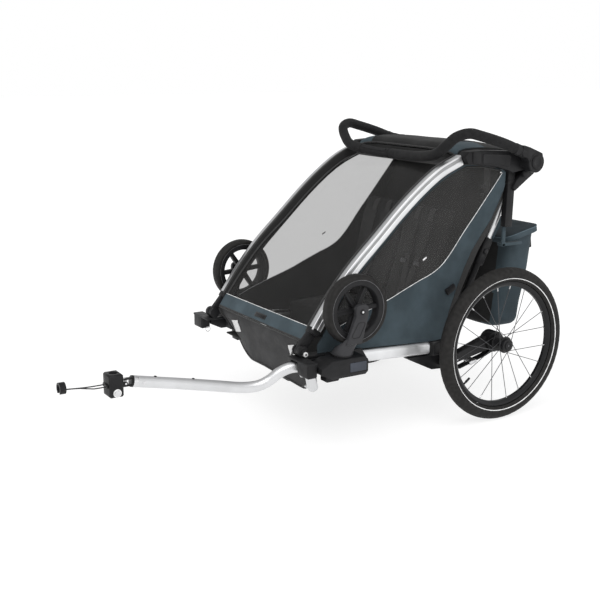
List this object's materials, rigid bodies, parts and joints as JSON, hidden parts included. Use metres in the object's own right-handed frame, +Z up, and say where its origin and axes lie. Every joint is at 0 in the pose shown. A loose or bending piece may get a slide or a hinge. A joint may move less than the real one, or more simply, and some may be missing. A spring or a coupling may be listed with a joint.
{
  "type": "child bicycle trailer",
  "caption": "Two-seat child bicycle trailer with a folding frame, cloth cabin, handlebar, flip-up stroller wheels, rear bag and a bent side hitch arm.",
  "frame": {"origin": "centre of the trailer's box, on the ground", "axes": "+Z up, -Y the way the trailer drives, +X the trailer's own left"},
  "size_m": [0.8, 1.6726, 0.9395],
  "materials": {
    "aluminium": "satin anodised",
    "black_plastic": "fine grained moulding",
    "black_metal": "satin black coating",
    "tyre": "matt rubber with tread",
    "slate_fabric": "woven, coated",
    "dark_fabric": "mesh and woven cloth",
    "grey_fabric": "coated cloth",
    "foam": "soft grip cover",
    "steel": "plated"
  },
  "bodies": {
    "chassis": {"left_side_rail": "aluminium", "right_side_rail": "aluminium", "left_front_corner": "black_plastic", "right_front_corner": "black_plastic", "front_crossbar": "black_metal", "rear_crossmember": "black_metal", "floor_pan": "dark_fabric", "nose_tub": "grey_fabric", "left_side_panel": "slate_fabric", "right_side_panel": "slate_fabric", "rear_panel": "dark_fabric", "seat_bench": "dark_fabric", "cargo_bag": "slate_fabric", "hitch_saddle": "black_plastic"},
    "front_frame": {"left_front_tube": "aluminium", "right_front_tube": "aluminium", "left_top_piece": "black_plastic", "right_top_piece": "black_plastic", "top_bar": "black_metal", "front_cover": "dark_fabric", "roof": "dark_fabric"},
    "rear_frame": {"rear_frame": "aluminium", "left_rear_leg": "black_plastic", "right_rear_leg": "black_plastic"},
    "handlebar": {"handlebar": "foam"},
    "hitch_arm": {"hitch_arm": "aluminium", "hitch_neck": "black_metal"},
    "hitch_knuckle": {"hitch_knuckle": "steel"},
    "hitch_coupler": {"hitch_coupler": "black_plastic", "stay_wire": "black_metal"},
    "lock_pin": {"lock_pin": "steel"},
    "snap_button": {"snap_button": "black_plastic"},
    "brake_pedal": {"brake_pedal": "black_plastic"},
    "bag_lid": {"bag_lid": "slate_fabric"},
    "left_suspension": {"left_swing_arm": "black_metal"},
    "left_adjuster": {"left_spring_adjuster": "black_plastic"},
    "left_rear_wheel": {"left_tyre": "tyre", "left_wheel": "black_metal"},
    "left_wheel_button": {"left_wheel_button": "black_plastic"},
    "left_flip": {"left_flip_housing": "black_plastic"},
    "left_flip_button": {"left_flip_button": "slate_fabric"},
    "left_swivel": {"left_stroller_leg": "black_plastic"},
    "left_stroller_wheel": {"left_stroller_wheel": "black_plastic", "left_stroller_tyre": "tyre"},
    "left_hub_button": {"left_hub_button": "black_plastic"},
    "left_latch_button": {"left_latch_button": "black_plastic"},
    "left_seat_back": {"left_seat_back": "dark_fabric"},
    "right_suspension": {"right_swing_arm": "black_metal"},
    "right_adjuster": {"right_spring_adjuster": "black_plastic"},
    "right_rear_wheel": {"right_tyre": "tyre", "right_wheel": "black_metal"},
    "right_wheel_button": {"right_wheel_button": "black_plastic"},
    "right_flip": {"right_flip_housing": "black_plastic"},
    "right_flip_button": {"right_flip_button": "slate_fabric"},
    "right_swivel": {"right_stroller_leg": "black_plastic"},
    "right_stroller_wheel": {"right_stroller_wheel": "black_plastic", "right_stroller_tyre": "tyre"},
    "right_hub_button": {"right_hub_button": "black_plastic"},
    "right_latch_button": {"right_latch_button": "black_plastic"},
    "right_seat_back": {"right_seat_back": "dark_fabric"}
  },
  "joints": [
    {"name": "left_suspension", "type": "hinge", "parent": "chassis", "child": "left_suspension", "pos_m": [0.313, 0.399, 0.203], "axis": [1, 0, 0], "range_deg": [0, 10], "stiffness_Nm_per_rad": 70, "springref_deg": -17.19},
    {"name": "left_spring_adjust", "type": "slide", "parent": "left_suspension", "child": "left_adjuster", "axis": [0, 0.9692, 0.2462], "range_m": [-0.03, 0.03]},
    {"name": "left_wheel_spin", "type": "hinge", "parent": "left_suspension", "child": "left_rear_wheel", "pos_m": [0.366, 0.584, 0.25], "axis": [1, 0, 0], "continuous": true},
    {"name": "left_wheel_release", "type": "slide", "parent": "left_rear_wheel", "child": "left_wheel_button", "axis": [-1, 0, 0], "range_m": [0, 0.004], "stiffness_N_per_m": 400, "springref_m": -0.002},
    {"name": "left_wheel_flip", "type": "hinge", "parent": "chassis", "child": "left_flip", "pos_m": [0.349, -0.025, 0.269], "axis": [0, 1, 0], "range_deg": [0, 180]},
    {"name": "left_flip_release", "type": "slide", "parent": "left_flip", "child": "left_flip_button", "axis": [-1, 0, 0], "range_m": [0, 0.003], "stiffness_N_per_m": 400, "springref_m": -0.002},
    {"name": "left_swivel", "type": "hinge", "parent": "left_flip", "child": "left_swivel", "pos_m": [0.349, -0.025, 0.299], "axis": [0, 0, -1], "range_deg": [-12, 12]},
    {"name": "left_stroller_spin", "type": "hinge", "parent": "left_swivel", "child": "left_stroller_wheel", "pos_m": [0.349, 0.02, 0.4316], "axis": [1, 0, 0], "continuous": true},
    {"name": "right_suspension", "type": "hinge", "parent": "chassis", "child": "right_suspension", "pos_m": [-0.313, 0.399, 0.203], "axis": [1, 0, 0], "range_deg": [0, 10], "stiffness_Nm_per_rad": 70, "springref_deg": -17.19},
    {"name": "right_spring_adjust", "type": "slide", "parent": "right_suspension", "child": "right_adjuster", "axis": [0, 0.9692, 0.2462], "range_m": [-0.03, 0.03]},
    {"name": "right_wheel_spin", "type": "hinge", "parent": "right_suspension", "child": "right_rear_wheel", "pos_m": [-0.366, 0.584, 0.25], "axis": [1, 0, 0], "continuous": true},
    {"name": "right_wheel_release", "type": "slide", "parent": "right_rear_wheel", "child": "right_wheel_button", "axis": [1, 0, 0], "range_m": [0, 0.004], "stiffness_N_per_m": 400, "springref_m": -0.002},
    {"name": "right_wheel_flip", "type": "hinge", "parent": "chassis", "child": "right_flip", "pos_m": [-0.349, -0.025, 0.269], "axis": [0, -1, 0], "range_deg": [0, 180]},
    {"name": "right_flip_release", "type": "slide", "parent": "right_flip", "child": "right_flip_button", "axis": [1, 0, 0], "range_m": [0, 0.003], "stiffness_N_per_m": 400, "springref_m": -0.002},
    {"name": "right_swivel", "type": "hinge", "parent": "right_flip", "child": "right_swivel", "pos_m": [-0.349, -0.025, 0.299], "axis": [0, 0, 1], "range_deg": [-12, 12]},
    {"name": "right_stroller_spin", "type": "hinge", "parent": "right_swivel", "child": "right_stroller_wheel", "pos_m": [-0.349, 0.02, 0.4316], "axis": [1, 0, 0], "continuous": true},
    {"name": "frame_fold", "type": "hinge", "parent": "chassis", "child": "front_frame", "pos_m": [0.278, -0.128, 0.312], "axis": [-1, 0, 0], "range_deg": [0, 28], "deforming": ["left_side_panel", "right_side_panel", "rear_panel", "left_seat_back", "right_seat_back", "cargo_bag", "bag_lid"]},
    {"name": "rear_frame_fold", "type": "hinge", "parent": "front_frame", "child": "rear_frame", "pos_m": [0.245, 0.712, 0.77], "axis": [-1, 0, 0], "range_deg": [0, 42.1]},
    {"name": "left_latch_release", "type": "slide", "parent": "rear_frame", "child": "left_latch_button", "axis": [-1, 0, 0], "range_m": [0, 0.003], "stiffness_N_per_m": 400, "springref_m": -0.002},
    {"name": "right_latch_release", "type": "slide", "parent": "rear_frame", "child": "right_latch_button", "axis": [1, 0, 0], "range_m": [0, 0.003], "stiffness_N_per_m": 400, "springref_m": -0.002},
    {"name": "handlebar_fold", "type": "hinge", "parent": "front_frame", "child": "handlebar", "pos_m": [0.3185, 0.711, 0.825], "axis": [-1, 0, 0], "range_deg": [0, 180]},
    {"name": "left_hub_release", "type": "slide", "parent": "handlebar", "child": "left_hub_button", "axis": [-1, 0, 0], "range_m": [0, 0.003], "stiffness_N_per_m": 400, "springref_m": -0.002},
    {"name": "right_hub_release", "type": "slide", "parent": "handlebar", "child": "right_hub_button", "axis": [1, 0, 0], "range_m": [0, 0.003], "stiffness_N_per_m": 400, "springref_m": -0.002},
    {"name": "hitch_fold", "type": "hinge", "parent": "chassis", "child": "hitch_arm", "pos_m": [0.15, -0.061, 0.186], "axis": [-1, 0, 0], "range_deg": [-180, 0]},
    {"name": "snap_release", "type": "slide", "parent": "hitch_arm", "child": "snap_button", "axis": [-1, 0, 0], "range_m": [0, 0.003], "stiffness_N_per_m": 400, "springref_m": -0.002},
    {"name": "hitch_yaw", "type": "hinge", "parent": "hitch_arm", "child": "hitch_knuckle", "pos_m": [0.2205, -0.653, 0.286], "axis": [0, 0, 1], "range_deg": [-50, 50]},
    {"name": "hitch_pitch", "type": "hinge", "parent": "hitch_knuckle", "child": "hitch_coupler", "pos_m": [0.2205, -0.653, 0.286], "axis": [1, 0, 0], "range_deg": [-15, 15]},
    {"name": "lock_pin_pull", "type": "slide", "parent": "hitch_coupler", "child": "lock_pin", "axis": [1, 0, 0], "range_m": [0, 0.035]},
    {"name": "brake", "type": "hinge", "parent": "chassis", "child": "brake_pedal", "pos_m": [0, 0.472, 0.212], "axis": [-1, 0, 0], "range_deg": [0, 25]},
    {"name": "left_recline", "type": "hinge", "parent": "chassis", "child": "left_seat_back", "pos_m": [0.118, 0.376, 0.3387], "axis": [-1, 0, 0], "range_deg": [0, 10]},
    {"name": "right_recline", "type": "hinge", "parent": "chassis", "child": "right_seat_back", "pos_m": [-0.118, 0.376, 0.3387], "axis": [-1, 0, 0], "range_deg": [0, 10]},
    {"name": "bag_lid_open", "type": "hinge", "parent": "chassis", "child": "bag_lid", "pos_m": [0, 0.684, 0.566], "axis": [1, 0, 0], "range_deg": [0, 60]}
  ],
  "couplings": [
    {"joint": "rear_frame_fold", "follows": "frame_fold", "ratio": 1.5}
  ]
}
